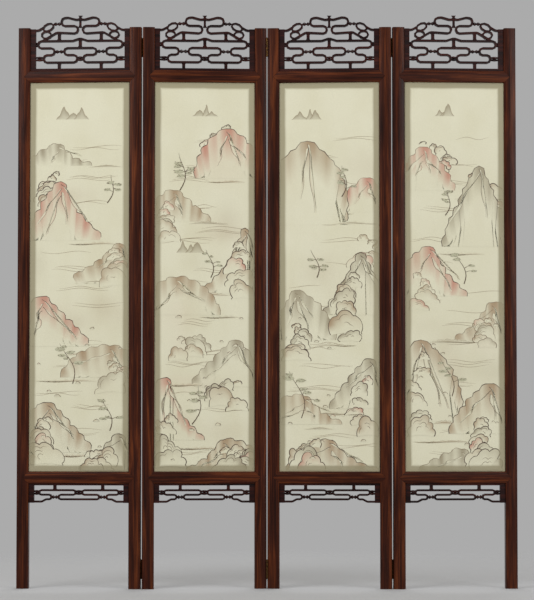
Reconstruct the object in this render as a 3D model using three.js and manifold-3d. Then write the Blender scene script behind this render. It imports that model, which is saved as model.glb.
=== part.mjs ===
// Four-leaf folding screen: hardwood leaves with silk panels, pierced crests and aprons, on brass butt hinges.
// Millimetres, +Z up, the front faces -Y, and the origin is on the floor in the middle of the screen.
import * as THREE from "three";
import { mergeVertices } from "three/addons/utils/BufferGeometryUtils.js";
import Module from "manifold-3d";

const wasm = await Module();
wasm.setup();

// Driving dimensions
const leafCount = 4;
const leafWidth = 398;
const postHeight = 1800;
const postWidth = 38;
const frameDepth = 30;
const crownFall = 4;
const backChamfer = 1.5;
const railHeight = 38;
const lowerRailBottom = 335;
const crestSeat = 139;
const restFold = THREE.MathUtils.degToRad(4);
const fit = 0.3;

// Joinery
const mitreDepth = 8;
const tenonLength = 26;
const tenonHeight = 22;
const tenonThickness = 10;
const tongue = 6;
const boardThickness = 13;

// Silk panel
const strainerThickness = 12;
const strainerWidth = 26;
const silkThickness = 0.8;
const silkMargin = 1;

// Hinges
const hingeGap = 1.6;
const hingeHeight = 58;
const hingeFromEnd = 62;
const hingeLeafThickness = 2;
const hingeLeafDepth = 22;
const barrelRadius = 2.8;
const pivotOut = 2.8;
const pinRadius = 1.4;
const pinHeadRadius = 2.4;
const pinHeadHeight = 2.6;
const knuckleCount = 5;
const barrelSides = 8;

// Fretwork
const crestStrand = 8;
const apronStrand = 7;
const strandFace = 0.8;
const sideStrip = 17;
const spoolWidth = 18;
const spoolWaist = 0.55;
const discRadius = 6.4;
const beadRadius = 4.2;
const crestFoot = 8;
const apronHead = 6;
const arcSteps = 2;
const tieSides = 6;

// Where the frame's openings lie in one leaf
const openingLeft = postWidth;
const openingRight = leafWidth - postWidth;
const leafMiddle = leafWidth / 2;
const upperRailTop = postHeight - crestSeat;
const silkBottom = lowerRailBottom + railHeight;
const silkTop = upperRailTop - railHeight;
const halfDepth = frameDepth / 2;
const hingeHeights = [hingeFromEnd, postHeight - hingeFromEnd];
const knuckleHeight = hingeHeight / knuckleCount;
const crownEase = 0.3;
const crownShoulder = 0.32;

const hardwood = new THREE.MeshStandardMaterial({ color: 0x4a2012, roughness: 0.38, metalness: 0 });
const darkHardwood = new THREE.MeshStandardMaterial({ color: 0x2a1210, roughness: 0.42, metalness: 0 });
const softwood = new THREE.MeshStandardMaterial({ color: 0xb9a878, roughness: 0.7, metalness: 0 });
const silk = new THREE.MeshStandardMaterial({ color: 0xd8d4b4, roughness: 0.75, metalness: 0 });
const lining = new THREE.MeshStandardMaterial({ color: 0xb8ad88, roughness: 0.85, metalness: 0 });
const brass = new THREE.MeshStandardMaterial({ color: 0x6e5526, roughness: 0.45, metalness: 0.9 });

// Solids and booleans
function solidOf(geometry) {
  const bare = geometry.index ? geometry.toNonIndexed() : geometry.clone();
  bare.deleteAttribute("normal");
  bare.deleteAttribute("uv");
  const merged = mergeVertices(bare, 1e-4);
  return new wasm.Manifold(
    new wasm.Mesh({
      numProp: 3,
      vertProperties: merged.attributes.position.array,
      triVerts: new Uint32Array(merged.index.array),
    }),
  );
}

function geometryOf(solid) {
  const mesh = solid.getMesh();
  const geometry = new THREE.BufferGeometry();
  geometry.setAttribute("position", new THREE.BufferAttribute(new Float32Array(mesh.vertProperties), 3));
  geometry.setIndex(new THREE.BufferAttribute(new Uint32Array(mesh.triVerts), 1));
  const flat = geometry.toNonIndexed();
  flat.computeVertexNormals();
  return flat;
}

const joined = (parts) => parts.reduce((whole, part) => whole.add(part));

function block(x0, x1, y0, y1, z0, z1) {
  const geometry = new THREE.BoxGeometry(x1 - x0, y1 - y0, z1 - z0);
  geometry.translate((x0 + x1) / 2, (y0 + y1) / 2, (z0 + z1) / 2);
  return solidOf(geometry);
}

// A flat outline in the leaf's plane, given as [x, z] points, cut right through from y0 to y1
function plate(points, y0, y1) {
  const shape = new THREE.Shape(points.map(([x, z]) => new THREE.Vector2(x, z)));
  const geometry = new THREE.ExtrudeGeometry(shape, { depth: y1 - y0, bevelEnabled: false });
  geometry.rotateX(Math.PI / 2);
  geometry.translate(0, y1, 0);
  return solidOf(geometry);
}

// The moulded section of posts and rails: a crowned face in front, a flat back with eased corners
function crownedSection(width) {
  const half = width / 2;
  const shape = new THREE.Shape();
  shape.moveTo(-half + backChamfer, halfDepth);
  shape.lineTo(-half, halfDepth - backChamfer);
  shape.lineTo(-half, -halfDepth + crownFall);
  shape.bezierCurveTo(
    -half, -halfDepth + crownFall * crownEase,
    -half + width * crownShoulder * 0.5, -halfDepth,
    0, -halfDepth,
  );
  shape.bezierCurveTo(
    half - width * crownShoulder * 0.5, -halfDepth,
    half, -halfDepth + crownFall * crownEase,
    half, -halfDepth + crownFall,
  );
  shape.lineTo(half, halfDepth - backChamfer);
  shape.lineTo(half - backChamfer, halfDepth);
  return shape;
}

function crownedBar(width, length) {
  return new THREE.ExtrudeGeometry(crownedSection(width), {
    depth: length,
    bevelEnabled: false,
    curveSegments: 3,
  });
}

// The pointed outline of a rail's mitred face, grown outwards by a clearance
function mitredOutline(railBottom, grow) {
  const middle = railBottom + railHeight / 2;
  const half = railHeight / 2 + grow;
  const reach = postWidth / 2 + grow;
  return [
    [openingLeft, middle - half],
    [openingRight, middle - half],
    [openingRight + reach, middle],
    [openingRight, middle + half],
    [openingLeft, middle + half],
    [openingLeft - reach, middle],
  ];
}

function tenonBlock(side, railBottom, grow) {
  const middle = railBottom + railHeight / 2;
  const [x0, x1] =
    side === "left"
      ? [openingLeft - tenonLength - grow, openingLeft + 1]
      : [openingRight - 1, openingRight + tenonLength + grow];
  return block(
    x0, x1,
    -tenonThickness / 2 - grow, tenonThickness / 2 + grow,
    middle - tenonHeight / 2 - grow, middle + tenonHeight / 2 + grow,
  );
}

// Rails end in a pointed mitre in front and a tenon behind it
function rail(railBottom, groovesAbove, groovesBelow) {
  const length = openingRight - openingLeft + postWidth;
  const bar = crownedBar(railHeight, length);
  bar.rotateY(Math.PI / 2);
  bar.translate(openingLeft - postWidth / 2, 0, railBottom + railHeight / 2);
  const face = plate(mitredOutline(railBottom, -fit), -halfDepth - 1, -halfDepth + mitreDepth);
  const body = block(
    openingLeft + fit, openingRight - fit,
    -halfDepth - 1, halfDepth + 1,
    railBottom - 1, railBottom + railHeight + 1,
  );
  let made = solidOf(bar).intersect(face.add(body));
  made = made.add(tenonBlock("left", railBottom, 0)).add(tenonBlock("right", railBottom, 0));
  const top = railBottom + railHeight;
  const grooves = [
    ...groovesAbove.map(([thickness, depth]) => [thickness, top - depth, top + 1]),
    ...groovesBelow.map(([thickness, depth]) => [thickness, railBottom - 1, railBottom + depth]),
  ];
  for (const [thickness, z0, z1] of grooves)
    made = made.subtract(
      block(openingLeft - 1, openingRight + 1, -thickness / 2 - fit, thickness / 2 + fit, z0 - fit, z1),
    );
  return made;
}

// Posts are mortised and notched for the rails, grooved for the boards, and let in for the hinges
function post(side, hingeFaces) {
  const bar = crownedBar(postWidth, postHeight);
  const middle = side === "left" ? postWidth / 2 : leafWidth - postWidth / 2;
  bar.translate(middle, 0, 0);
  let made = solidOf(bar);
  for (const railBottom of [lowerRailBottom, upperRailTop - railHeight]) {
    made = made.subtract(tenonBlock(side, railBottom, fit));
    made = made.subtract(plate(mitredOutline(railBottom, fit), -halfDepth - 1, -halfDepth + mitreDepth + fit));
  }
  const depth = tongue + fit;
  const [x0, x1] =
    side === "left" ? [openingLeft - depth, openingLeft + 1] : [openingRight - 1, openingRight + depth];
  const grooves = [
    [boardThickness, upperRailTop - depth, postHeight + 1],
    [strainerThickness, silkBottom - depth, silkTop + depth],
    [boardThickness, lowerRailBottom - apronDrop - fit, lowerRailBottom + depth],
  ];
  for (const [thickness, z0, z1] of grooves)
    made = made.subtract(block(x0, x1, -thickness / 2 - fit, thickness / 2 + fit, z0, z1));
  const letIn = hingeLeafThickness - (hingeGap / 2 - fit) + fit;
  for (const face of hingeFaces)
    for (const height of hingeHeights) {
      const outer = face === "back" ? halfDepth + 1 : -halfDepth - 1;
      const inner = face === "back" ? halfDepth - hingeLeafDepth - fit : -halfDepth + hingeLeafDepth + fit;
      const [u0, u1] = side === "left" ? [-1, letIn] : [leafWidth - letIn, leafWidth + 1];
      made = made.subtract(
        block(
          u0, u1,
          Math.min(outer, inner), Math.max(outer, inner),
          height - hingeHeight / 2 - fit, height + hingeHeight / 2 + fit,
        ),
      );
    }
  return made;
}

// Fretwork strands: a centre line with rounded corners, swept with a crowned section
function roundedLine(corners, radius, closed) {
  const points = [];
  const count = corners.length;
  corners.forEach((corner, i) => {
    if (!closed && (i === 0 || i === count - 1)) {
      points.push(new THREE.Vector2(...corner));
      return;
    }
    const here = new THREE.Vector2(...corner);
    const before = new THREE.Vector2(...corners[(i + count - 1) % count]).sub(here);
    const after = new THREE.Vector2(...corners[(i + 1) % count]).sub(here);
    const turn = Math.PI - Math.acos(before.clone().normalize().dot(after.clone().normalize()));
    const longest = 0.499 * Math.min(before.length(), after.length());
    const run = Math.min(radius * Math.tan(turn / 2), longest);
    const bend = run / Math.tan(turn / 2);
    const start = here.clone().addScaledVector(before.normalize(), run);
    const end = here.clone().addScaledVector(after.normalize(), run);
    const inward = before.clone().add(after).normalize();
    const centre = here.clone().addScaledVector(inward, Math.hypot(run, bend));
    const steps = Math.max(1, Math.round((arcSteps * turn) / (Math.PI / 2)));
    const from = start.clone().sub(centre);
    const sweep = Math.sign(from.clone().cross(end.clone().sub(centre))) * turn;
    for (let k = 0; k <= steps; k++)
      points.push(from.clone().rotateAround(new THREE.Vector2(), (sweep * k) / steps).add(centre));
  });
  return points;
}

function strand(points, width, closed) {
  const half = width / 2;
  const back = boardThickness / 2;
  const section = [
    [back, -half],
    [back, half],
    [-back, half * strandFace],
    [-back, -half * strandFace],
  ];
  const sides = section.length;
  const rings = points.length;
  const positions = [];
  points.forEach((point, i) => {
    const before = points[closed ? (i + rings - 1) % rings : Math.max(i - 1, 0)];
    const after = points[closed ? (i + 1) % rings : Math.min(i + 1, rings - 1)];
    const along = after.clone().sub(before).normalize();
    for (const [depth, across] of section)
      positions.push(point.x - along.y * across, depth, point.y + along.x * across);
  });
  const index = [];
  for (let i = 0; i < (closed ? rings : rings - 1); i++)
    for (let k = 0; k < sides; k++) {
      const a = i * sides + k;
      const b = i * sides + ((k + 1) % sides);
      const c = ((i + 1) % rings) * sides + ((k + 1) % sides);
      const d = ((i + 1) % rings) * sides + k;
      index.push(a, b, c, a, c, d);
    }
  if (!closed)
    for (let k = 1; k < sides - 1; k++) {
      const last = (rings - 1) * sides;
      index.push(0, k + 1, k, last, last + k, last + k + 1);
    }
  const geometry = new THREE.BufferGeometry();
  geometry.setAttribute("position", new THREE.Float32BufferAttribute(positions, 3));
  geometry.setIndex(index);
  return solidOf(geometry);
}

const mirrored = (corners) => corners.map(([x, z]) => [-x, z]);
const between = (a, b) => [Math.min(a, b), Math.max(a, b)];

// A turned tie between two strands, along X from x0 to x1; the profile is [radius, share of the length]
function tie(x0, x1, z, profile) {
  const points = profile.map(([r, t]) => new THREE.Vector2(r, t * (x1 - x0)));
  const geometry = new THREE.LatheGeometry(points, tieSides);
  geometry.rotateZ(-Math.PI / 2);
  geometry.translate(x0, 0, z);
  return solidOf(geometry);
}

// Two discs side by side
function discs(x0, x1, z) {
  return tie(x0, x1, z, [
    [0, 0],
    [discRadius * 0.35, 0],
    [discRadius, 0.28],
    [discRadius * 0.45, 0.5],
    [discRadius, 0.72],
    [discRadius * 0.35, 1],
    [0, 1],
  ]);
}

// Two small beads, one above the other
function beads(x0, x1, z) {
  const profile = [
    [0, 0],
    [beadRadius * 0.7, 0],
    [beadRadius, 0.5],
    [beadRadius * 0.7, 1],
    [0, 1],
  ];
  return joined([-1, 1].map((side) => tie(x0, x1, z + side * beadRadius * 0.9, profile)));
}

// A waisted block that stands between two levels of the fretwork
function waisted(x, z0, z1, width) {
  const half = width / 2;
  const waist = half * spoolWaist;
  const quarter = (z1 - z0) / 4;
  const middle = (z0 + z1) / 2;
  return plate(
    [
      [x - half, z0],
      [x + half, z0],
      [x + waist, middle - quarter],
      [x + waist, middle + quarter],
      [x + half, z1],
      [x - half, z1],
      [x - waist, middle + quarter],
      [x - waist, middle - quarter],
    ],
    -boardThickness / 2 + 1,
    boardThickness / 2 - 1,
  );
}

function oval(x, z, across, up, tilt, width) {
  const points = [];
  const steps = 9;
  for (let k = 0; k < steps; k++) {
    const a = (2 * Math.PI * k) / steps;
    const u = across * Math.cos(a);
    const v = up * Math.sin(a);
    points.push(
      new THREE.Vector2(x + u * Math.cos(tilt) - v * Math.sin(tilt), z + u * Math.sin(tilt) + v * Math.cos(tilt)),
    );
  }
  return strand(points, width, true);
}

// Levels of the crest above the upper rail, and its columns from the middle of the leaf
const crestLevels = { foot: 28, lobe: 52, band: 74.5, rail: 97.5, scroll: 121, loop: 146, crown: 171 };
const crestShoulder = 136;
const crestPeak = 8;
const crestPeakHalf = 24;
const openingHalf = (openingRight - openingLeft) / 2;
const neck = 68;
const neckHalf = 15.5;
const lobeInner = 10;
const lobeOuter = 119;
const bandOuter = openingHalf - sideStrip - crestStrand / 2 - 3;
const crestFillet = 11;
const loopOuter = 61;
const scrollInner = 8;

function crestFretwork() {
  const z = crestLevels;
  const stripInner = openingHalf - sideStrip;
  const half = [
    [-neck + neckHalf, z.band],
    [-neck + neckHalf, z.lobe],
    [-lobeInner, z.lobe],
    [-lobeInner, z.foot],
    [-lobeOuter, z.foot],
    [-lobeOuter, z.lobe],
    [-neck - neckHalf, z.lobe],
    [-neck - neckHalf, z.band],
    [-bandOuter, z.band],
    [-bandOuter, z.rail],
  ];
  const peak = [
    [-crestPeakHalf, z.rail],
    [0, z.rail + crestPeak],
    [crestPeakHalf, z.rail],
  ];
  const meander = [...half, ...peak, ...mirrored(half).reverse()];
  const scroll = [
    [2, z.crown - 4],
    [-14, z.crown - 5],
    [-40, z.crown + 2],
    [-loopOuter, z.crown],
    [-loopOuter, z.loop],
    [-scrollInner, z.loop],
    [-scrollInner, z.scroll],
    [-76, z.scroll + 4],
    [-bandOuter + 14, z.rail],
  ];
  const shoulder = [
    [-stripInner - 4, crestShoulder - crestStrand / 2],
    [-stripInner + 8, crestShoulder - crestStrand / 2],
    [-118, z.loop - 4],
  ];
  const parts = [strand(roundedLine(meander, crestFillet, true), crestStrand, true)];
  for (const flip of [(c) => c, mirrored]) {
    parts.push(strand(roundedLine(flip(scroll), crestFillet, false), crestStrand, false));
    parts.push(strand(roundedLine(flip(shoulder), crestFillet, false), crestStrand, false));
  }
  for (const side of [-1, 1]) {
    parts.push(oval(side * 104, z.loop - 4, 18, 11, side * -0.45, crestStrand - 1));
    parts.push(oval(side * 110, z.scroll - 4, 15.5, 11.5, 0, crestStrand - 1));
    parts.push(waisted(side * neck, z.rail, z.scroll + 3, spoolWidth));
    parts.push(waisted(side * neck, 0, z.foot, spoolWidth));
    parts.push(discs(side * neck - neckHalf, side * neck + neckHalf, (z.lobe + z.band) / 2));
    parts.push(beads(...between(side * lobeOuter, side * stripInner), (z.foot + z.lobe) / 2));
    parts.push(beads(...between(side * bandOuter, side * (stripInner + 1)), (z.band + z.rail) / 2));
    parts.push(discs(...between(side * loopOuter, side * 87), z.loop + 7));
  }
  parts.push(waisted(0, z.band, z.rail + crestPeak - 2, spoolWidth));
  parts.push(waisted(0, z.loop - 6, z.crown, spoolWidth * 0.7));
  parts.push(waisted(0, z.crown - 4, z.crown + 8, spoolWidth * 0.8));
  parts.push(beads(-lobeInner, lobeInner, (z.foot + z.lobe) / 2));
  return joined(parts);
}

function crest() {
  const strips = [-1, 1].map((side) => {
    const outer = side * (openingHalf + tongue);
    const inner = side * (openingHalf - sideStrip);
    return block(
      Math.min(outer, inner), Math.max(outer, inner),
      -boardThickness / 2, boardThickness / 2,
      -tongue, crestShoulder,
    );
  });
  const foot = block(
    -openingHalf, openingHalf, -boardThickness / 2, boardThickness / 2, -tongue, crestFoot,
  );
  return joined([crestFretwork(), foot, ...strips]).translate([leafMiddle, 0, upperRailTop]);
}

// Levels of the apron below the lower rail
const apronLevels = { upper: 21.5, middle: 36, lower: 50.5 };
const apronDrop = 61.5;
const apronNeck = 77;
const apronNeckHalf = 11.5;
const apronLoopInner = 10.5;
const apronLoopOuter = 128;

function apron() {
  const { upper, middle, lower } = apronLevels;
  const stripInner = openingHalf - sideStrip;
  const footLine = -apronDrop + apronStrand / 2;
  const half = [
    [-stripInner - 4, footLine],
    [-stripInner + 24, footLine],
    [-stripInner + 38, -lower],
    [-apronNeck - apronNeckHalf, -lower],
    [-apronNeck - apronNeckHalf, -middle],
    [-apronLoopOuter, -middle],
    [-apronLoopOuter, -upper],
    [-apronLoopInner, -upper],
    [-apronLoopInner, -middle],
    [-apronNeck + apronNeckHalf, -middle],
    [-apronNeck + apronNeckHalf, -lower],
  ];
  const line = [...half, ...mirrored(half).reverse()];
  const parts = [strand(roundedLine(line, (middle - upper) / 2, false), apronStrand, false)];
  for (const side of [-1, 1]) {
    parts.push(waisted(side * apronNeck, -upper, 0, spoolWidth));
    const middleTie = -(middle + lower) / 2;
    parts.push(discs(side * apronNeck - apronNeckHalf, side * apronNeck + apronNeckHalf, middleTie));
    parts.push(beads(...between(side * apronLoopOuter, side * stripInner), -(upper + middle) / 2));
    const outer = side * (openingHalf + tongue);
    const inner = side * stripInner;
    parts.push(
      block(
        Math.min(outer, inner), Math.max(outer, inner),
        -boardThickness / 2, boardThickness / 2,
        -apronDrop, tongue,
      ),
    );
  }
  parts.push(beads(-apronLoopInner, apronLoopInner, -(upper + middle) / 2));
  parts.push(block(-openingHalf, openingHalf, -boardThickness / 2, boardThickness / 2, -apronHead, tongue));
  return joined(parts).translate([leafMiddle, 0, lowerRailBottom]);
}

// Silk panel: a softwood strainer held in the frame's grooves, silk in front and a lining behind
function strainer() {
  const x0 = openingLeft - tongue;
  const x1 = openingRight + tongue;
  const z0 = silkBottom - tongue;
  const z1 = silkTop + tongue;
  const half = strainerThickness / 2;
  return block(x0, x1, -half, half, z0, z1).subtract(
    block(
      x0 + strainerWidth, x1 - strainerWidth,
      -half - 1, half + 1,
      z0 + strainerWidth, z1 - strainerWidth,
    ),
  );
}

function clothSheet(face) {
  const near = strainerThickness / 2 + fit;
  const far = near + silkThickness;
  const [y0, y1] = face === "front" ? [-far, -near] : [near, far];
  return block(
    openingLeft + silkMargin, openingRight - silkMargin,
    y0, y1,
    silkBottom + silkMargin, silkTop - silkMargin,
  );
}

// Butt hinge: leaves with interleaved knuckles, and a headed pin, about an axis along Z at the origin
function upright(radius, z0, z1, sides) {
  const geometry = new THREE.CylinderGeometry(radius, radius, z1 - z0, sides);
  geometry.rotateX(Math.PI / 2);
  geometry.translate(0, 0, (z0 + z1) / 2);
  return solidOf(geometry);
}

function hingeLeaf(side, firstKnuckle) {
  const near = side * fit;
  const far = side * (fit + hingeLeafThickness);
  const x0 = Math.min(near, far);
  const x1 = Math.max(near, far);
  const deep = -pivotOut - hingeLeafDepth;
  const clear = -barrelRadius - 2 * fit;
  const parts = [block(x0, x1, deep, clear, -hingeHeight / 2, hingeHeight / 2)];
  for (let k = firstKnuckle; k < knuckleCount; k += 2) {
    const z0 = -hingeHeight / 2 + k * knuckleHeight + (k > 0 ? fit / 2 : 0);
    const z1 = -hingeHeight / 2 + (k + 1) * knuckleHeight - (k < knuckleCount - 1 ? fit / 2 : 0);
    parts.push(block(x0, x1, clear - 1, 0, z0, z1));
    parts.push(upright(barrelRadius, z0, z1, barrelSides));
  }
  return joined(parts).subtract(
    upright(pinRadius + fit, -hingeHeight, hingeHeight, barrelSides),
  );
}

function hingePin() {
  const end = hingeHeight / 2 + fit;
  const half = [
    [pinRadius, end],
    [pinHeadRadius, end],
    [pinHeadRadius, end + pinHeadHeight * 0.4],
    [0, end + pinHeadHeight],
  ];
  const profile = [...half.map(([r, z]) => [r, -z]).reverse(), ...half];
  const geometry = new THREE.LatheGeometry(
    profile.map(([r, z]) => new THREE.Vector2(r, z)),
    barrelSides,
  );
  geometry.rotateX(Math.PI / 2);
  return solidOf(geometry);
}

// One leaf of the screen, its left edge at x = 0
function addPiece(group, name, solid, material) {
  const mesh = new THREE.Mesh(geometryOf(solid), material);
  mesh.name = name;
  group.add(mesh);
  return mesh;
}

const crestSolid = crest();
const apronSolid = apron();
const strainerSolid = strainer();
const silkSolid = clothSheet("front");
const liningSolid = clothSheet("back");
const upperRailSolid = rail(upperRailTop - railHeight, [[boardThickness, tongue]], [[strainerThickness, tongue]]);
const lowerRailSolid = rail(lowerRailBottom, [[strainerThickness, tongue]], [[boardThickness, tongue]]);

// Joints alternate: the outer two fold back to back, the middle one front to front
const jointFace = (joint) => (joint % 2 === 1 ? "back" : "front");

function screenLeaf(number) {
  const group = new THREE.Group();
  const leftFaces = number > 1 ? [jointFace(number - 1)] : [];
  const rightFaces = number < leafCount ? [jointFace(number)] : [];
  addPiece(group, `leaf_${number}_left_post`, post("left", leftFaces), hardwood);
  addPiece(group, `leaf_${number}_right_post`, post("right", rightFaces), hardwood);
  addPiece(group, `leaf_${number}_upper_rail`, upperRailSolid, hardwood);
  addPiece(group, `leaf_${number}_lower_rail`, lowerRailSolid, hardwood);
  addPiece(group, `leaf_${number}_crest`, crestSolid, darkHardwood);
  addPiece(group, `leaf_${number}_apron`, apronSolid, darkHardwood);
  addPiece(group, `leaf_${number}_strainer`, strainerSolid, softwood);
  addPiece(group, `leaf_${number}_silk`, silkSolid, silk);
  addPiece(group, `leaf_${number}_lining`, liningSolid, lining);
  return group;
}

// The pivot of a joint in the leaf on its left and in the leaf on its right
function pivotIn(side, joint) {
  const y = halfDepth + pivotOut;
  const x = side === "left" ? leafWidth + hingeGap / 2 : -hingeGap / 2;
  return new THREE.Vector3(x, jointFace(joint) === "back" ? y : -y, 0);
}

const screen = new THREE.Group();
const turnOf = (number) => (number % 2 === 1 ? -restFold : restFold);
const leaves = [];
for (let number = 1; number <= leafCount; number++) {
  const group = screenLeaf(number);
  group.rotation.z = turnOf(number);
  group.updateMatrix();
  leaves.push(group);
  screen.add(group);
}

// Each leaf hangs on the one before it at their common pivot
for (let joint = 1; joint < leafCount; joint++) {
  const [left, right] = [leaves[joint - 1], leaves[joint]];
  left.updateMatrix();
  const pivot = pivotIn("left", joint).applyMatrix4(left.matrix);
  const reach = pivotIn("right", joint).applyEuler(right.rotation);
  right.position.copy(pivot).sub(reach);
  right.updateMatrix();
}

// Hinge parts sit in the leaf that they are screwed to, and the pin in the left leaf
for (let joint = 1; joint < leafCount; joint++) {
  const half = jointFace(joint) === "back" ? 0 : Math.PI;
  const leftLeaf = half ? hingeLeaf(1, 0) : hingeLeaf(-1, 1);
  const rightLeaf = half ? hingeLeaf(-1, 1) : hingeLeaf(1, 0);
  hingeHeights.forEach((height, i) => {
    const name = `hinge_${joint}_${["lower", "upper"][i]}`;
    const place = [
      ["left_leaf", leftLeaf, leaves[joint - 1], "left"],
      ["right_leaf", rightLeaf, leaves[joint], "right"],
      ["pin", hingePin(), leaves[joint - 1], "left"],
    ];
    for (const [piece, solid, group, side] of place) {
      const mesh = addPiece(group, `${name}_${piece}`, solid, brass);
      mesh.position.copy(pivotIn(side, joint)).setZ(height);
      mesh.rotation.z = half;
    }
  });
}

// The origin is under the middle of the whole screen
screen.updateMatrixWorld(true);
const box = new THREE.Box3().setFromObject(screen, true);
const centre = box.getCenter(new THREE.Vector3());
for (const leaf of leaves) leaf.position.sub(new THREE.Vector3(centre.x, centre.y, 0));

export default screen;
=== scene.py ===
import math
import random

import bpy
import numpy as np
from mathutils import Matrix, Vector


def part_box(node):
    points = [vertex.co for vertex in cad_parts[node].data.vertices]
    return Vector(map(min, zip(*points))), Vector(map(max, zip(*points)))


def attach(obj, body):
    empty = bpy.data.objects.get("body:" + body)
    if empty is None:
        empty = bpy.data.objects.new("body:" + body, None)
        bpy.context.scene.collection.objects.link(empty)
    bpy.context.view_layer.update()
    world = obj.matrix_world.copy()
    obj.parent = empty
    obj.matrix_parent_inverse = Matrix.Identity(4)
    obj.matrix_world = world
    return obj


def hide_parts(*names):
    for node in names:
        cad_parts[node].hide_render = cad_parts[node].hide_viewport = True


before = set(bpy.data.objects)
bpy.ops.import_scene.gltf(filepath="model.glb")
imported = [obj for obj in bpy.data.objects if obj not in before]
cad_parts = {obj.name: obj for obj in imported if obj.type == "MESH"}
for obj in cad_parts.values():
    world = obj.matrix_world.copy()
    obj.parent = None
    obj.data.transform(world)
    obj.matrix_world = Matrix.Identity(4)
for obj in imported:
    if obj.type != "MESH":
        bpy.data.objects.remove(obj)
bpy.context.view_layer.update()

# Sizes are in metres. The strainer's shadow, seen through the silk, is painted as a darker band
# along its edges
LEAVES = (1, 2, 3, 4)
REST_FOLD = math.radians(4)
SILK_THICKNESS = 0.0008
STRAINER_SHADE_WIDTH = 0.019
STRAINER_SHADE_FADE = 0.0015
STRAINER_SHADE_WOBBLE = 0.006
STRAINER_SHADE_STRENGTH = 0.85
WHITE = (1, 1, 1, 1)
BLACK = (0, 0, 0, 1)


# The leaves stand in a zigzag: odd ones turn one way, even ones the other
def turn_of(leaf):
    return -REST_FOLD if leaf % 2 else REST_FOLD


def srgb(r, g, b):
    def channel(c):
        c = c / 255
        return c / 12.92 if c <= 0.04045 else ((c + 0.055) / 1.055) ** 2.4

    return (channel(r), channel(g), channel(b), 1.0)


def even_grey(value):
    return (value, value, value, 1)


# Materials
class Nodes:
    """The node tree of one material, with short names for what the materials share."""

    def __init__(self, name):
        self.material = bpy.data.materials.new(name)
        self.material.use_nodes = True
        self.tree = self.material.node_tree
        self.shader = self.tree.nodes["Principled BSDF"]

    def add(self, kind, **values):
        node = self.tree.nodes.new(kind)
        for key, value in values.items():
            setattr(node, key, value)
        return node

    def link(self, a, b):
        self.tree.links.new(a, b)

    # A socket takes a link from another socket, or else a plain value
    def feed(self, socket, value):
        if isinstance(value, bpy.types.NodeSocket):
            self.link(value, socket)
        else:
            socket.default_value = value

    def surface(self, name, value):
        self.feed(self.shader.inputs[name], value)

    def object_place(self):
        return self.add("ShaderNodeTexCoord").outputs["Object"]

    def mapped(self, vector, scale=(1, 1, 1), turn=0.0, shift=(0, 0, 0)):
        node = self.add("ShaderNodeMapping")
        self.feed(node.inputs["Vector"], vector)
        self.feed(node.inputs["Scale"], scale)
        self.feed(node.inputs["Rotation"], (0, 0, turn))
        self.feed(node.inputs["Location"], shift)
        return node.outputs["Vector"]

    def noise(self, vector, scale, detail, roughness=0.5, distortion=0.0):
        node = self.add("ShaderNodeTexNoise")
        self.feed(node.inputs["Vector"], vector)
        self.feed(node.inputs["Scale"], scale)
        self.feed(node.inputs["Detail"], detail)
        self.feed(node.inputs["Roughness"], roughness)
        self.feed(node.inputs["Distortion"], distortion)
        return node.outputs["Fac"]

    def ramp(self, source, stops):
        node = self.add("ShaderNodeValToRGB")
        elements = node.color_ramp.elements
        while len(elements) < len(stops):
            elements.new(0.5)
        for element, (at, colour) in zip(elements, stops):
            element.position = at
            element.color = colour
        self.link(source, node.inputs["Fac"])
        return node.outputs["Color"]

    def mix(self, factor, a, b, blend="MIX"):
        node = self.add("ShaderNodeMix", data_type="RGBA", blend_type=blend)
        self.feed(node.inputs["Factor"], factor)
        self.feed(node.inputs["A"], a)
        self.feed(node.inputs["B"], b)
        return node.outputs["Result"]

    def math(self, operation, a, b):
        node = self.add("ShaderNodeMath", operation=operation)
        self.feed(node.inputs[0], a)
        self.feed(node.inputs[1], b)
        return node.outputs[0]

    def bump(self, height, strength, distance):
        node = self.add("ShaderNodeBump")
        self.feed(node.inputs["Strength"], strength)
        self.feed(node.inputs["Distance"], distance)
        self.link(height, node.inputs["Height"])
        self.surface("Normal", node.outputs["Normal"])


# Waxed hardwood with its grain along the piece; the seed moves the grain from piece to piece
def hardwood(name, tones, upright, turn, seed, roughness):
    dark, mid, light = tones
    n = Nodes(name)
    along_grain = 0.035
    stretch = (1.0, 1.0, along_grain) if upright else (along_grain, 1.0, 1.0)
    shift = (seed * 1.37, seed * 0.71, seed * 0.53)
    turned = n.mapped(n.object_place(), turn=-turn)
    along = n.mapped(turned, scale=stretch, shift=shift)
    grain = n.noise(along, scale=95, detail=6, roughness=0.62, distortion=0.6)
    pores = n.noise(along, scale=520, detail=3)
    patches = n.noise(turned, scale=5, detail=2)
    colour = n.ramp(grain, [(0.3, dark), (0.5, mid), (0.72, light)])
    shade = n.ramp(pores, [(0.38, (0.55, 0.5, 0.48, 1)), (0.52, WHITE)])
    colour = n.mix(0.7, colour, shade, "MULTIPLY")
    worn = n.ramp(patches, [(0.35, (0.72, 0.7, 0.7, 1)), (0.65, (1.18, 1.15, 1.1, 1))])
    colour = n.mix(0.8, colour, worn, "MULTIPLY")
    waxed, dry = roughness - 0.05, roughness + 0.1
    n.surface("Base Color", colour)
    n.surface("Roughness", n.ramp(patches, [(0.3, even_grey(waxed)), (0.7, even_grey(dry))]))
    n.surface("Specular IOR Level", 0.14)
    n.bump(pores, strength=0.25, distance=0.0004)
    return n.material


def aged_brass():
    n = Nodes("aged_brass")
    noise = n.noise(n.object_place(), scale=160, detail=4)
    n.surface("Base Color", n.ramp(noise, [(0.35, srgb(40, 28, 18)), (0.6, srgb(92, 66, 34))]))
    n.surface("Metallic", 0.9)
    n.surface("Roughness", 0.42)
    n.bump(noise, strength=0.15, distance=0.0003)
    return n.material


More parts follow.
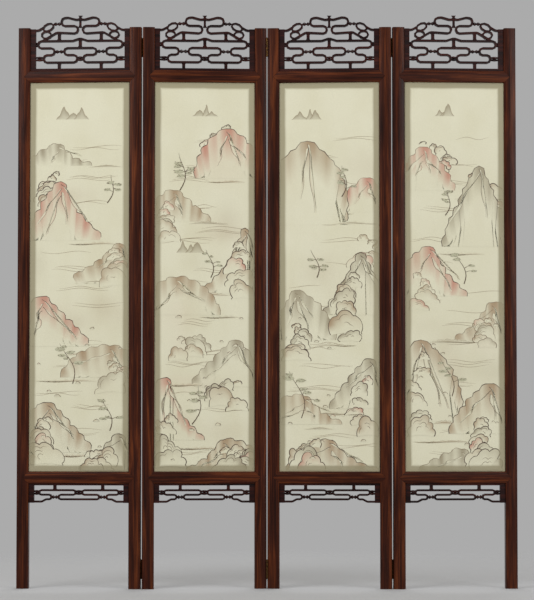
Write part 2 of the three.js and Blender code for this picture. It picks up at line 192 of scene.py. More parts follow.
def plain_softwood():
    n = Nodes("plain_softwood")
    along = n.mapped(n.object_place(), scale=(1, 1, 0.05))
    noise = n.noise(along, scale=80, detail=2)
    n.surface("Base Color", n.ramp(noise, [(0.3, srgb(150, 128, 88)), (0.7, srgb(190, 168, 122))]))
    n.surface("Roughness", 0.7)
    return n.material


# Cloth, in one colour, or painted, where that colour is only the band of painted shade round the
# edge, where the strainer behind shows through
def cloth(name, colour, thread_depth, painted):
    n = Nodes(name)
    place = n.add("ShaderNodeAttribute", attribute_name="on_cloth").outputs["Vector"]
    weft = n.noise(n.mapped(place, scale=(0.04, 1, 1)), scale=420, detail=3)
    blotch = n.noise(place, scale=7, detail=4)
    if painted:
        shown = n.add("ShaderNodeAttribute", attribute_name="paint").outputs["Color"]
    else:
        shown = colour
    threads = n.ramp(weft, [(0.3, (0.93, 0.93, 0.91, 1)), (0.7, (1.04, 1.04, 1.03, 1))])
    shown = n.mix(0.8, shown, threads, "MULTIPLY")
    aged = n.ramp(blotch, [(0.3, (0.94, 0.93, 0.89, 1)), (0.6, WHITE)])
    shown = n.mix(0.8, shown, aged, "MULTIPLY")
    # Painted shade: a darker band round the edge stands in for the strainer's shadow seen through
    # the silk
    if painted:
        split = n.add("ShaderNodeSeparateXYZ")
        n.link(place, split.inputs[0])
        edge = n.math("MINIMUM", split.outputs["Y"], split.outputs["Z"])
        wobble = n.math("MULTIPLY", n.math("SUBTRACT", blotch, 0.5), STRAINER_SHADE_WOBBLE)
        edge = n.math("ADD", edge, wobble)
        stops = [(STRAINER_SHADE_WIDTH - STRAINER_SHADE_FADE, WHITE), (STRAINER_SHADE_WIDTH + STRAINER_SHADE_FADE, BLACK)]
        in_strainer_shade = n.ramp(edge, stops)
        shown = n.mix(n.math("MULTIPLY", in_strainer_shade, STRAINER_SHADE_STRENGTH), shown, colour)
    n.surface("Base Color", shown)
    n.surface("Roughness", 0.62)
    n.surface("Sheen Weight", 0.15)
    n.bump(weft, strength=0.3, distance=thread_depth)
    return n.material


# Meshes
def mesh_object(name, vertices, faces, material):
    mesh = bpy.data.meshes.new(name)
    mesh.from_pydata([tuple(v) for v in vertices], [], faces)
    mesh.validate()
    obj = bpy.data.objects.new(name, mesh)
    bpy.context.scene.collection.objects.link(obj)
    mesh.materials.append(material)
    return obj


def paint_vertices(obj, colours):
    layer = obj.data.color_attributes.new("paint", "FLOAT_COLOR", "POINT")
    layer.data.foreach_set("color", np.asarray(colours, dtype=np.float32).ravel())


def set_places(obj, places):
    layer = obj.data.attributes.new("on_cloth", "FLOAT_VECTOR", "POINT")
    layer.data.foreach_set("vector", np.asarray(places, dtype=np.float32).ravel())


class Leaf:
    """The plane of one leaf's silk, with x across it from its middle and z up from its foot."""

    def __init__(self, number):
        low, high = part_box(f"leaf_{number}_silk")
        turn = turn_of(number)
        self.number = number
        self.across = Vector((math.cos(turn), math.sin(turn), 0))
        self.back = Vector((-math.sin(turn), math.cos(turn), 0))
        self.centre = (low + high) / 2
        self.height = high.z - low.z
        size = high.x - low.x
        self.width = (size - SILK_THICKNESS * abs(math.sin(turn))) / math.cos(turn)

    def at(self, x, z, out):
        local = self.across * x + Vector((0, 0, z - self.height / 2)) - self.back * out
        return self.centre + local


def paint_colour(r, g, b):
    return np.array(srgb(r, g, b)[:3])


def blend_colours(a, b, share):
    return a * (1 - share) + b * share


# The painting: outlined rocks, far peaks, mist and pines that go on from leaf to leaf
SILK = paint_colour(224, 220, 194)
INK = paint_colour(70, 50, 34)
PALE_INK = paint_colour(142, 120, 90)
TAN = paint_colour(160, 130, 96)
GREY = paint_colour(150, 138, 112)
PINK = paint_colour(190, 122, 102)
GREEN = paint_colour(160, 160, 128)
FIRST_LIFT = SILK_THICKNESS / 2 + 0.00015
LAYER_LIFT = 0.000004
UNPAINTED_EDGE = 0.004
STRONG_LINE = 0.002
FAINT_ROCK_LINE = 0.0014
FAINT_SLOPE_LINE = 0.0013
PEAK_LINE = 0.0008
STONE_LINE = 0.0008
PATCH_COUNT = 11
PATCH_REACH = 8
BANK_COUNT = 16
LOWEST_BANK = 0.06
BANK_SPACING = 0.066
STONE_COUNT = 12
PATCH_SEED = 700
PAINTING_SEED = 40
WEAVE_SHIFT = 3


# Soft patches of wash on the bare silk of one leaf, the pink ones half as strong
def silk_patches(number):
    source = random.Random(PATCH_SEED + number)
    patches = []
    for _ in range(PATCH_COUNT):
        place = (source.uniform(-0.14, 0.14), source.uniform(0.05, 1.0))
        size = (source.uniform(0.03, 0.09), source.uniform(0.02, 0.06))
        tint = source.choice((TAN, TAN, GREY, PINK))
        strength = source.uniform(0.05, 0.17)
        patches.append((place, size, tint, strength * (0.5 if tint is PINK else 1.0)))
    return patches


PATCHES = {number: silk_patches(number) for number in LEAVES}


def wash_at(number, x, z):
    colour = SILK
    for (cx, cz), (wide, high), tint, strength in PATCHES[number]:
        away = ((x - cx) / wide) ** 2 + ((z - cz) / high) ** 2
        if away < PATCH_REACH:
            colour = blend_colours(colour, tint, strength * math.exp(-away))
    return colour


# A place across the leaves, shifted so that no two have the same weave, and the distances from
# the nearest side edge and end edge
def place_on_cloth(leaf, x, z):
    return (x + WEAVE_SHIFT * leaf.number, leaf.width / 2 - abs(x), min(z, leaf.height - z))


# Nothing at the ends of a run of points and one in its middle; a lead leaves the ends blunt
def swell(k, last, lead=0.0):
    return math.sin(math.pi * (k + lead) / (last + 2 * lead))


class Brush:
    """Collects the washes and strokes of one leaf, each wash above all that was laid before it."""

    def __init__(self, leaf):
        self.leaf = leaf
        self.limit_x = leaf.width / 2 - UNPAINTED_EDGE
        self.limit_z = leaf.height - UNPAINTED_EDGE
        self.vertices, self.faces, self.colours, self.places = [], [], [], []
        self.layer = 0
        self.on_wash = False

    def clip(self, x, z):
        x = max(-self.limit_x, min(self.limit_x, x))
        z = max(UNPAINTED_EDGE, min(self.limit_z, z))
        return x, z

    def inside(self, x, z):
        return abs(x) < self.limit_x and UNPAINTED_EDGE < z < self.limit_z

    def point(self, x, z, colour):
        x, z = self.clip(x, z)
        self.vertices.append(self.leaf.at(x, z, FIRST_LIFT + self.layer * LAYER_LIFT))
        self.colours.append((*colour, 1.0))
        self.places.append(place_on_cloth(self.leaf, x, z))
        return len(self.vertices) - 1

    # The silk's own colour with a share of a tint over it
    def tinted(self, x, z, tint, share):
        return blend_colours(wash_at(self.leaf.number, x, z), tint, share)

    # A tint over a row of points, in one share for all or in a list of shares
    def shades(self, points, tint, shares):
        if not isinstance(shares, list):
            shares = [shares] * len(points)
        return [self.tinted(x, z, tint, share) for (x, z), share in zip(points, shares)]

    # Strokes that follow one another share a layer; the first after a wash lies above it
    def stroke(self, points, widths, colour):
        if self.on_wash:
            self.layer += 1
            self.on_wash = False
        run = []
        for (x, z), width in zip(points, widths):
            if self.inside(x, z):
                run.append((x, z, width))
            else:
                self.ribbon(run, colour)
                run = []
        self.ribbon(run, colour)

    def ribbon(self, run, colour):
        if len(run) < 2:
            return
        pairs = []
        for i, (x, z, width) in enumerate(run):
            a = run[max(i - 1, 0)]
            b = run[min(i + 1, len(run) - 1)]
            dx, dz = b[0] - a[0], b[1] - a[1]
            size = math.hypot(dx, dz) or 1.0
            ox, oz = -dz / size * width / 2, dx / size * width / 2
            one_side = self.point(x + ox, z + oz, colour)
            other_side = self.point(x - ox, z - oz, colour)
            pairs.append((one_side, other_side))
        for (a, b), (c, d) in zip(pairs, pairs[1:]):
            self.faces.append((a, b, d, c))

    # Rings of (points, colours) joined one inside the other and closed at the last
    def wash(self, rings):
        self.layer += 1
        self.on_wash = True
        laid = [[self.point(x, z, c) for (x, z), c in zip(*ring)] for ring in rings]
        for outer, inner in zip(laid, laid[1:]):
            for k in range(len(outer) - 1):
                self.faces.append((outer[k], inner[k], inner[k + 1], outer[k + 1]))
        self.faces.append(tuple(laid[-1]))


# One rock: a lobed outline a little past a half turn, shaded inside along it and open at its foot
def draw_rock(brush, rng, cx, cz, wide, tall, tint, ink, width, lean=0.0):
    steps = 34
    past_half = 0.06
    lobes = rng.randint(3, 5)
    phase = rng.uniform(0, math.pi)
    rough = [rng.uniform(0.86, 1.12) for _ in range(lobes + 3)]
    outline = []
    for k in range(steps + 1):
        t = k / steps
        angle = math.pi * (1 + past_half - (1 + 2 * past_half) * t)
        at = t * lobes + phase
        lobe = abs(math.sin(math.pi * at)) ** 0.6
        reach = rough[int(at) % len(rough)] * (0.82 + 0.2 * lobe)
        u = math.cos(angle) * reach
        v = math.sin(angle) * reach
        outline.append((cx + (u + lean * max(v, 0)) * wide, cz + v * tall))
    side = rng.choice((-1, 1))
    strength = rng.uniform(0.6, 1.0)
    foot_x, foot_z = cx, cz - tall * 0.05
    fade_height = 0.35 * tall

    def drawn_in(points, scale):
        return [(foot_x + (x - foot_x) * scale, foot_z + (z - foot_z) * scale) for x, z in points]

    rings = []
    for scale, share in ((1.0, 1.0), (0.84, 0.75), (0.62, 0.3), (0.3, 0.0)):
        points = drawn_in(outline, scale)
        shares = []
        for k, (x, z) in enumerate(points):
            lit = 0.55 + 0.45 * side * math.cos(math.pi * k / steps)
            low = max(0.0, min(1.0, (z - foot_z) / fade_height))
            shares.append(strength * share * lit * low)
        rings.append((points, brush.shades(points, tint, shares)))
    brush.wash(rings)
    weights = [
        width * (0.6 + 0.7 * abs(math.sin(5 * k / steps + phase)))
        for k in range(steps + 1)
    ]
    brush.stroke(outline, weights, ink)
    # Folds that follow the outline inside, each on a part of it
    for scale in (0.8, 0.62, 0.45):
        if rng.random() < 0.25:
            continue
        first = rng.randint(2, steps // 2)
        last = min(steps - 2, first + rng.randint(6, 15))
        fold = drawn_in(outline[first:last], scale)
        taper = [width * 0.75 * swell(k, len(fold) - 1, 0.6) for k in range(len(fold))]
        brush.stroke(fold, taper, blend_colours(ink, PALE_INK, 0.35))


# A massif: rocks that climb along a swaying line and grow smaller
def draw_massif(brush, rng, x, z, top, wide, strong):
    ink = INK if strong else blend_colours(INK, PALE_INK, 0.5)
    width = STRONG_LINE if strong else FAINT_ROCK_LINE
    sway = rng.uniform(-0.05, 0.05)
    count = rng.randint(5, 8)
    places = []
    for k in range(count):
        t = k / (count - 1)
        size = wide * (1 - 0.6 * t) * rng.uniform(0.75, 1.2)
        cx = x + sway * math.sin(3.2 * t) * 1.6 + rng.uniform(-0.3, 0.3) * wide
        places.append((z + (top - z) * t, cx, size))
    for cz, cx, size in sorted(places, reverse=True):
        tint = PINK if rng.random() < 0.16 else rng.choice((TAN, TAN, GREY))
        tall = size * rng.uniform(0.7, 1.35)
        lean = rng.uniform(-0.4, 0.4)
        draw_rock(brush, rng, cx, cz, size, tall, tint, ink, width, lean)


def draw_far_peaks(brush, rng, z):
    x = rng.uniform(-0.1, 0.03)
    steps = 20
    for _ in range(rng.randint(3, 4)):
        wide, tall = rng.uniform(0.012, 0.026), rng.uniform(0.014, 0.045)
        ridge = []
        for k in range(steps + 1):
            u = 2 * k / steps - 1
            crags = 0.09 * math.sin(9 * u + x * 60) * (1 - u * u)
            rise = (1 - abs(u)) ** 1.25 + crags
            ridge.append((x + wide * u, z + tall * max(rise, 0.0)))
        foot = [(px, z) for px, _pz in ridge]
        brush.wash([
            (ridge, brush.shades(ridge, GREY, 0.85)),
            (foot, brush.shades(foot, GREY, 0.25)),
        ])
        brush.stroke(ridge, [PEAK_LINE] * (steps + 1), PALE_INK)
        x += wide * rng.uniform(0.9, 1.5)


# The broken line of a mountain side, from one foot over the summit to the other
def slope_line(rng, left, summit, right):
    steps = 22
    lobe_length = 0.035
    lobe_height = 0.011
    line = []
    for (ax, az), (bx, bz) in ((left, summit), (summit, right)):
        dx, dz = bx - ax, bz - az
        size = math.hypot(dx, dz)
        lobes = max(2, round(size / lobe_length))
        bow = rng.uniform(-0.12, 0.2) * size
        for k in range(steps):
            t = k / steps
            lobe = abs(math.sin(math.pi * t * lobes)) ** 0.7
            bump = lobe_height * lobe * rng.uniform(0.8, 1.15)
            off = bump + bow * math.sin(math.pi * t)
            line.append((ax + dx * t - dz / size * off, az + dz * t + dx / size * off))
    line.append(right)
    return line


# The wash below that line, uneven along it and fading down to nothing
def wash_slope(brush, rng, line, summit, foot, tint):
    last = len(line) - 1
    deep = rng.uniform(0.012, 0.022)
    lit = [0.55 + 0.45 * math.sin(0.9 * k) * math.sin(0.37 * k) for k in range(last + 1)]
    rings = []
    for fall, share in ((0.0, 0.95), (deep, 0.8), (2.2 * deep, 0.4), (3.5 * deep, 0.0)):
        points = []
        for k, (x, z) in enumerate(line):
            inward = (summit[0] - x) * fall * 2.0
            down = fall * (0.5 + swell(k, last))
            points.append((x + inward, max(foot, z - down)))
        rings.append((points, brush.shades(points, tint, [share * value for value in lit])))
    base = [(x, foot) for x, _z in line]
    rings.append((base, brush.shades(base, tint, 0.0)))
    brush.wash(rings)


# A ridge inside the slope, from near the summit towards one foot, with a narrow wash beside it
def draw_ridge(brush, rng, order, summit, end, side, foot, tint, ink, width):
    count = 12
    share = rng.uniform(0.15, 0.75)
    x, z = summit[0], summit[1] - 0.01 - 0.012 * order
    end_x = summit[0] + (end[0] - summit[0]) * share
    end_z = max(foot + 0.004, z - rng.uniform(0.4, 0.85) * (z - foot))
    wave = rng.uniform(0.003, 0.007)
    ridge = []
    for j in range(count + 1):
        t = j / count
        px = x + (end_x - x) * t + wave * math.sin(9 * t + order)
        pz = z + (end_z - z) * t + 0.4 * wave * math.sin(17 * t)
        ridge.append((px, pz))
    beside = [(px + 0.006 * side, pz - 0.004) for px, pz in ridge]
    brush.wash([
        (ridge, brush.shades(ridge, tint, [0.5 * swell(j, count) for j in range(count + 1)])),
        (beside, brush.shades(beside, tint, 0.05)),
    ])
    brush.stroke(ridge, [width * 0.8 * (1 - 0.7 * j / count) for j in range(count + 1)], ink)


def draw_slope(brush, rng, left, summit, right, tint, strong):
    ink = INK if strong else blend_colours(INK, PALE_INK, 0.55)
    width = STRONG_LINE if strong else FAINT_SLOPE_LINE
    foot = min(left[1], right[1])
    line = slope_line(rng, left, summit, right)
    wash_slope(brush, rng, line, summit, foot, tint)
    brush.stroke(line, [width * rng.uniform(0.5, 1.3) for _ in line], ink)
    for k in range(rng.randint(2, 4)):
        end, side = (left, -1) if k % 2 else (right, 1)
        draw_ridge(brush, rng, k, summit, end, side, foot, tint, ink, width)


# A flat bank: a spindle of wash with a line along its foot
def draw_spit(brush, rng, x, z, length, tint):
    count = 18
    waver = 0.0022
    foot_line, top_line = 0.0012, 0.0008
    thick = rng.uniform(0.004, 0.011)
    spine, top = [], []
    for j in range(count + 1):
        px = x + length * (j / count - 0.5)
        pz = z + waver * math.sin(7 * j / count + 30 * z)
        rise = max(0.0, swell(j, count)) ** 0.7 * thick * (0.8 + 0.3 * math.sin(2.3 * j))
        spine.append((px, pz))
        top.append((px, pz + rise))
    share = rng.uniform(0.35, 0.65)
    brush.wash([
        (top, brush.shades(top, tint, 0.05)),
        (spine, brush.shades(spine, tint, [share * swell(j, count) for j in range(count + 1)])),
    ])
    taper = [swell(j, count, 0.4) for j in range(count + 1)]
    brush.stroke(spine, [foot_line * value for value in taper], PALE_INK)
    if rng.random() < 0.6:
        brush.stroke(top, [top_line * value for value in taper], PALE_INK)


# Long low banks and streams: one to three thin lines, one above the other
def draw_bank(brush, rng, z):
    steps = 26
    finest, bolder = 0.0003, 0.0007
    x = rng.uniform(-brush.limit_x, 0.02)
    length = rng.uniform(0.09, 0.2)
    for k in range(rng.randint(1, 3)):
        lift = k * rng.uniform(0.004, 0.008)
        bend = rng.uniform(4, 9)
        run = []
        for j in range(steps + 1):
            t = j / steps
            run.append((x + length * t + 0.01 * k, z + lift + 0.004 * math.sin(bend * t + z * 40)))
        brush.stroke(run, [finest + bolder * swell(j, steps) for j in range(steps + 1)], PALE_INK)


def draw_pine(brush, rng, x, z, tall):
    joints = 8
    needles = 8
    tuft_points, tuft_step = 11, 0.62
    butt, thinning = 0.003, 0.0024
    lean = rng.uniform(-0.3, 0.3)
    ink = blend_colours(INK, PALE_INK, 0.2)
    trunk = []
    for k in range(joints + 1):
        t = k / joints
        trunk.append((x + lean * tall * t + 0.12 * tall * math.sin(4.4 * t), z + tall * t))
    brush.stroke(trunk, [butt - thinning * k / joints for k in range(joints + 1)], ink)
    for _ in range(rng.randint(5, 8)):
        at = 0.35 + 0.65 * rng.random()
        sx, sz = trunk[int(at * joints)]
        side = rng.choice((-1, 1))
        reach = tall * rng.uniform(0.12, 0.34) * (1.3 - at)
        rise = tall * rng.uniform(-0.04, 0.1)
        branch = [
            (sx + side * reach * t, sz + rise * t + 0.03 * tall * math.sin(3 * t))
            for t in (0, 0.35, 0.7, 1)
        ]
        brush.stroke(branch, [0.0013, 0.001, 0.0008, 0.0004], ink)
        cx, cz = branch[-1]
        spread = tall * rng.uniform(0.07, 0.13)
        angles = [tuft_step * j for j in range(tuft_points)]
        tuft = [(cx + spread * math.cos(a), cz + 0.4 * spread * math.sin(a)) for a in angles]
        brush.wash([(tuft, [brush.tinted(cx, cz, GREEN, 0.6)] * len(tuft))])
        for _ in range(needles):
            ax = cx + rng.uniform(-1, 1) * spread
            az = cz + rng.uniform(-0.35, 0.35) * spread
            half = spread * rng.uniform(0.12, 0.3)
            needle = [(ax - half, az), (ax, az + 0.001), (ax + half, az)]
            brush.stroke(needle, [0.0004, 0.0013, 0.0004], ink)


# Where each leaf has its slopes, as (left foot, summit, right foot, strong), its massifs of rocks,
# as (x, foot, top, width, strong), its pines, as (x, z, height), and its far peaks
COMPOSITION = {
    1: {
        "slopes": [
            ((-0.17, 0.99), (-0.07, 1.05), (0.04, 0.98), False),
            ((-0.17, 0.74), (-0.06, 0.93), (0.07, 0.75), True),
            ((-0.02, 0.62), (0.13, 0.73), (0.2, 0.6), False),
            ((-0.2, 0.4), (-0.12, 0.56), (0.03, 0.41), True),
            ((-0.06, 0.3), (0.1, 0.4), (0.2, 0.3), False),
            ((-0.2, 0.06), (-0.1, 0.22), (0.04, 0.07), True),
            ((0.0, 0.0), (0.13, 0.12), (0.22, 0.0), True),
        ],
        "massifs": [
            (-0.08, 0.84, 0.95, 0.04, True),
            (0.11, 0.6, 0.7, 0.045, False),
            (-0.12, 0.42, 0.53, 0.04, True),
            (0.1, 0.26, 0.34, 0.045, False),
            (-0.1, 0.03, 0.16, 0.055, True),
            (0.05, 0.0, 0.05, 0.045, True),
        ],
        "pines": [(-0.02, 0.28, 0.13), (0.09, 0.86, 0.09), (0.1, 0.13, 0.1)],
        "peaks": [1.13],
    },
    2: {
        "slopes": [
            ((-0.03, 0.94), (0.07, 1.1), (0.18, 0.95), True),
            ((-0.2, 0.8), (-0.1, 0.9), (0.02, 0.8), False),
            ((0.0, 0.58), (0.13, 0.78), (0.22, 0.57), True),
            ((-0.2, 0.5), (-0.09, 0.62), (0.05, 0.5), False),
            ((-0.04, 0.28), (0.1, 0.42), (0.2, 0.27), False),
            ((-0.22, 0.1), (-0.12, 0.3), (0.0, 0.1), True),
            ((-0.06, 0.0), (0.06, 0.1), (0.2, 0.0), True),
        ],
        "massifs": [
            (0.07, 0.96, 1.1, 0.04, True),
            (-0.11, 0.74, 0.84, 0.04, False),
            (0.12, 0.56, 0.72, 0.05, True),
            (-0.08, 0.36, 0.42, 0.04, False),
            (0.1, 0.2, 0.28, 0.045, True),
            (-0.11, 0.02, 0.16, 0.055, True),
            (0.08, 0.0, 0.06, 0.05, True),
        ],
        "pines": [(-0.08, 0.9, 0.12), (0.02, 0.62, 0.09), (-0.04, 0.15, 0.12)],
        "peaks": [1.14, 0.7],
    },
    3: {
        "slopes": [
            ((-0.2, 0.8), (-0.07, 1.06), (0.05, 0.79), True),
            ((0.0, 0.84), (0.12, 0.94), (0.2, 0.83), False),
            ((-0.02, 0.5), (0.1, 0.7), (0.22, 0.5), True),
            ((-0.22, 0.42), (-0.11, 0.58), (0.02, 0.42), False),
            ((0.0, 0.2), (0.13, 0.36), (0.22, 0.2), True),
            ((-0.2, 0.16), (-0.08, 0.24), (0.04, 0.15), False),
            ((-0.14, 0.0), (0.0, 0.1), (0.16, 0.0), True),
        ],
        "massifs": [
            (-0.07, 0.84, 1.04, 0.045, True),
            (0.11, 0.66, 0.74, 0.04, False),
            (0.08, 0.42, 0.62, 0.05, True),
            (-0.11, 0.36, 0.46, 0.045, True),
            (0.12, 0.12, 0.28, 0.045, True),
            (-0.06, 0.0, 0.08, 0.055, True),
        ],
        "pines": [(-0.09, 0.17, 0.15), (0.04, 0.88, 0.1), (-0.04, 0.62, 0.09)],
        "peaks": [1.13],
    },
    4: {
        "slopes": [
            ((-0.2, 0.9), (-0.1, 1.04), (0.0, 0.9), False),
            ((-0.04, 0.72), (0.08, 0.98), (0.2, 0.72), True),
            ((-0.2, 0.56), (-0.08, 0.72), (0.04, 0.56), True),
            ((0.0, 0.42), (0.12, 0.54), (0.22, 0.42), False),
            ((-0.22, 0.16), (-0.11, 0.42), (0.02, 0.16), True),
            ((-0.02, 0.12), (0.11, 0.28), (0.22, 0.12), True),
            ((-0.12, 0.0), (0.02, 0.07), (0.14, 0.0), False),
        ],
        "massifs": [
            (-0.09, 0.94, 1.05, 0.035, True),
            (0.08, 0.74, 0.94, 0.045, True),
            (-0.11, 0.52, 0.62, 0.04, False),
            (0.1, 0.4, 0.48, 0.04, False),
            (-0.11, 0.12, 0.36, 0.05, True),
            (0.09, 0.0, 0.16, 0.055, True),
        ],
        "pines": [(0.03, 0.6, 0.1), (-0.01, 0.24, 0.12), (-0.03, 0.82, 0.08)],
        "peaks": [1.14],
    },
}


def draw_slope_and_spit(brush, rng, left, summit, right, strong):
    tint = PINK if rng.random() < 0.14 else rng.choice((TAN, TAN, GREY))
    draw_slope(brush, rng, left, summit, right, tint, strong)
    length = rng.uniform(0.08, 0.2)
    x = rng.uniform(-0.1, 0.1)
    z = left[1] - rng.uniform(0.005, 0.03)
    draw_spit(brush, rng, x, z, length, rng.choice((TAN, GREY)))


# The farthest forms come first: slopes and massifs are laid from the highest foot down
def paint_leaf(brush):
    number = brush.leaf.number
    rng = random.Random(PAINTING_SEED + number)
    layout = COMPOSITION[number]
    for z in layout["peaks"]:
        draw_far_peaks(brush, rng, z)
    for k in range(BANK_COUNT):
        draw_bank(brush, rng, LOWEST_BANK + BANK_SPACING * k + rng.uniform(-0.02, 0.02))
    forms = [(draw_slope_and_spit, min(form[0][1], form[2][1]), form) for form in layout["slopes"]]
    forms += [(draw_massif, form[1], form) for form in layout["massifs"]]
    for draw, _foot, form in sorted(forms, key=lambda entry: -entry[1]):
        draw(brush, rng, *form)
    for x, z, tall in layout["pines"]:
        draw_pine(brush, rng, x, z, tall)
    for _ in range(STONE_COUNT):
        x, z = rng.uniform(-0.14, 0.14), rng.uniform(0.03, 0.5)
        tint = PINK if rng.random() < 0.3 else TAN
        size = rng.uniform(0.004, 0.009)
        draw_rock(brush, rng, x, z, size, size * 0.8, tint, INK, STONE_LINE)


# A stretched cloth, as a grid at the front (1) or back (-1) of the solid that it replaces
def cloth_sheet(leaf, name, node, material, columns, rows, face, colour_at):
    low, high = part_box(node)
    shift = ((low + high) / 2 - leaf.centre).dot(leaf.back)
    out = -shift + face * SILK_THICKNESS / 2
    vertices, faces, colours, places = [], [], [], []
    for r in range(rows + 1):
        for c in range(columns + 1):
            x = leaf.width * (c / columns - 0.5)
            z = leaf.height * r / rows
            vertices.append(leaf.at(x, z, out))
            colours.append((*colour_at(x, z), 1.0))
            places.append(place_on_cloth(leaf, x, z))
    for r in range(rows):
        for c in range(columns):
            k = r * (columns + 1) + c
            quad = (k, k + 1, k + columns + 2, k + columns + 1)
            faces.append(quad if face > 0 else quad[::-1])
    obj = mesh_object(name, vertices, faces, material)
    paint_vertices(obj, colours)
    set_places(obj, places)
    for polygon in obj.data.polygons:
        polygon.use_smooth = True
    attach(obj, f"leaf_{leaf.number}")
    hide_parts(node)


# The painted silk's colour here is the painted shade of the strainer in the band round its edge
silk_material = cloth("painted_silk", srgb(148, 139, 108), 0.0003, painted=True)
lining_material = cloth("cloth_lining", srgb(186, 174, 140), 0.0004, painted=False)

for number in LEAVES:
    leaf = Leaf(number)
    cloth_sheet(
        leaf, f"leaf_{number}_painted_silk", f"leaf_{number}_silk", silk_material,
        columns=48, rows=190, face=1, colour_at=lambda x, z: wash_at(leaf.number, x, z),
    )
    cloth_sheet(
        leaf, f"leaf_{number}_cloth_lining", f"leaf_{number}_lining", lining_material,
        columns=16, rows=60, face=-1, colour_at=lambda x, z: SILK,
    )
    brush = Brush(leaf)
    paint_leaf(brush)
    painting = mesh_object(f"leaf_{number}_brushwork", brush.vertices, brush.faces, silk_material)
    paint_vertices(painting, brush.colours)
    set_places(painting, brush.places)
    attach(painting, f"leaf_{number}")


# Carried-over solids: better materials, eased edges and smooth shading
WELD_REACH = 0.00002
SHARP_ANGLE = math.radians(35)
FRAME_EASE = 0.0007
FRETWORK_EASE = 0.0006
BRASS_EASE = 0.0003


def dress(node, material, ease):
    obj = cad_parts[node]
    obj.data.materials.clear()
    obj.data.materials.append(material)
    for polygon in obj.data.polygons:
        polygon.use_smooth = True
    weld = obj.modifiers.new("weld", "WELD")
    weld.merge_threshold = WELD_REACH
    if ease:
        bevel = obj.modifiers.new("edges", "BEVEL")
        bevel.width = ease
        bevel.segments = 2
        bevel.limit_method = "ANGLE"
        bevel.angle_limit = SHARP_ANGLE
        bevel.use_clamp_overlap = True
    normals = obj.modifiers.new("normals", "WEIGHTED_NORMAL")
    normals.keep_sharp = False


# Two pieces of one leaf, each with its own run of the same wood
def dress_pair(number, kind, pieces, tones, upright, first_seed, roughness, ease):
    for k, (side, node) in enumerate(pieces):
        seed = first_seed + 2 * number + k
        wood = hardwood(
            f"{kind}_{number}_{side}", tones, upright, turn_of(number), seed, roughness
        )
        dress(f"leaf_{number}_{node}", wood, ease)


FRAME_TONES = (srgb(28, 8, 4), srgb(62, 24, 9), srgb(112, 56, 23))
FRETWORK_TONES = (srgb(18, 6, 6), srgb(40, 14, 12), srgb(72, 30, 22))
POSTS = (("left", "left_post"), ("right", "right_post"))
RAILS = (("upper", "upper_rail"), ("lower", "lower_rail"))
FRETWORK = (("crest", "crest"), ("apron", "apron"))
brass = aged_brass()
softwood = plain_softwood()
for number in LEAVES:
    dress_pair(number, "post", POSTS, FRAME_TONES, True, 0, 0.34, FRAME_EASE)
    dress_pair(number, "rail", RAILS, FRAME_TONES, False, 20, 0.34, FRAME_EASE)
    dress_pair(number, "fretwork", FRETWORK, FRETWORK_TONES, False, 40, 0.38, FRETWORK_EASE)
    dress(f"leaf_{number}_strainer", softwood, 0)
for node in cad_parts:
    if node.startswith("hinge_"):
        dress(node, brass, BRASS_EASE)


# Studio: a round pale floor that fades into an even backdrop, soft lights and the camera
BACKDROP = srgb(171, 171, 171)
FLOOR_COLOUR = srgb(184, 184, 184)
FLOOR_RADIUS = 2.7
FLOOR_SIDES = 64
FADE_FROM, FADE_TO = 1.0, 2.6
SOFT_DAYLIGHT = 0.42


def studio_floor():
    n = Nodes("studio_floor")
    n.surface("Base Color", FLOOR_COLOUR)
    n.surface("Roughness", 0.9)
    away = n.add("ShaderNodeVectorMath", operation="LENGTH")
    n.link(n.object_place(), away.inputs[0])
    fade = n.add("ShaderNodeMapRange", interpolation_type="SMOOTHSTEP")
    n.feed(fade.inputs["From Min"], FADE_FROM)
    n.feed(fade.inputs["From Max"], FADE_TO)
    n.link(away.outputs["Value"], fade.inputs["Value"])
    clear = n.add("ShaderNodeBsdfTransparent")
    mixed = n.add("ShaderNodeMixShader")
    n.link(fade.outputs["Result"], mixed.inputs[0])
    n.link(n.shader.outputs["BSDF"], mixed.inputs[1])
    n.link(clear.outputs["BSDF"], mixed.inputs[2])
    n.link(mixed.outputs["Shader"], n.tree.nodes["Material Output"].inputs["Surface"])
    angles = [2 * math.pi * k / FLOOR_SIDES for k in range(FLOOR_SIDES)]
    rim = [(FLOOR_RADIUS * math.cos(a), FLOOR_RADIUS * math.sin(a), 0) for a in angles]
    mesh_object("studio_floor", rim, [tuple(range(FLOOR_SIDES))], n.material)


def aimed(place, target):
    return (Vector(target) - Vector(place)).to_track_quat("-Z", "Y").to_euler()


def area_light(name, place, target, size, power):
    data = bpy.data.lights.new(name, "AREA")
    data.shape = "RECTANGLE"
    data.size, data.size_y = size
    data.energy = power
    light = bpy.data.objects.new(name, data)
    bpy.context.scene.collection.objects.link(light)
    light.location = place
    light.rotation_euler = aimed(place, target)


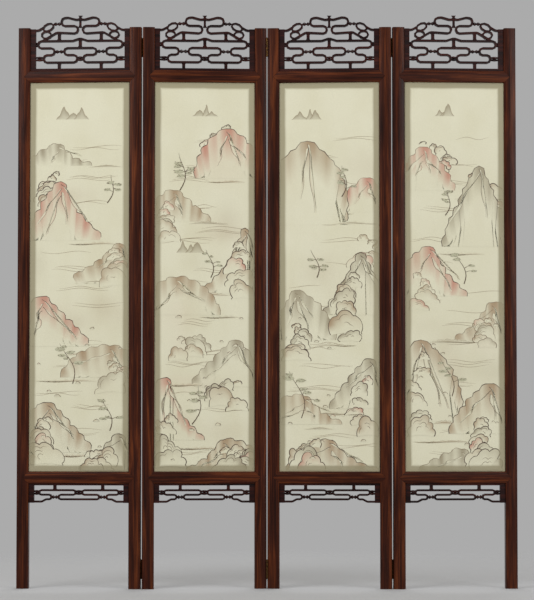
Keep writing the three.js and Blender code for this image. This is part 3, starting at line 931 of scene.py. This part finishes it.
# The backdrop's grey is only what the camera sees; an even white light comes from all round
def studio_world():
    world = bpy.data.worlds.new("studio")
    bpy.context.scene.world = world
    world.use_nodes = True
    tree = world.node_tree
    shown = tree.nodes["Background"]
    shown.inputs["Color"].default_value = BACKDROP
    lighting = tree.nodes.new("ShaderNodeBackground")
    lighting.inputs["Color"].default_value = WHITE
    lighting.inputs["Strength"].default_value = SOFT_DAYLIGHT
    path = tree.nodes.new("ShaderNodeLightPath")
    choice = tree.nodes.new("ShaderNodeMixShader")
    tree.links.new(path.outputs["Is Camera Ray"], choice.inputs[0])
    tree.links.new(lighting.outputs[0], choice.inputs[1])
    tree.links.new(shown.outputs[0], choice.inputs[2])
    tree.links.new(choice.outputs[0], tree.nodes["World Output"].inputs["Surface"])


# The camera stands low and looks up a little at the middle of the screen
CAMERA_DISTANCE = 8.0
CAMERA_PITCH = math.radians(2.65)
AIM_HEIGHT = 0.9225
SENSOR_WIDTH = 36
PIXELS_TALL = 600
METRES_PER_PIXEL = 0.003209


def studio_camera():
    data = bpy.data.cameras.new("camera")
    data.sensor_width = SENSOR_WIDTH
    data.lens = SENSOR_WIDTH * CAMERA_DISTANCE / (PIXELS_TALL * METRES_PER_PIXEL)
    camera = bpy.data.objects.new("camera", data)
    bpy.context.scene.collection.objects.link(camera)
    camera.location = (
        0,
        -CAMERA_DISTANCE * math.cos(CAMERA_PITCH),
        AIM_HEIGHT - CAMERA_DISTANCE * math.sin(CAMERA_PITCH),
    )
    camera.rotation_euler = aimed(camera.location, (0, 0, AIM_HEIGHT))
    bpy.context.scene.camera = camera


studio_floor()
area_light("key", (-3.2, -4.2, 3.6), target=(0, 0, 0.9), size=(2.6, 2.6), power=122)
area_light("fill", (3.6, -4.6, 2.2), target=(0, 0, 0.9), size=(2.4, 2.4), power=86)
area_light("top", (0, -1.0, 5.5), target=(0, 0.6, 0), size=(5.0, 4.0), power=70)
area_light("behind", (0.5, 3.2, 4.2), target=(0, 0, 1.0), size=(3.0, 2.0), power=60)
studio_world()
studio_camera()
bpy.context.scene.view_settings.view_transform = "Standard"
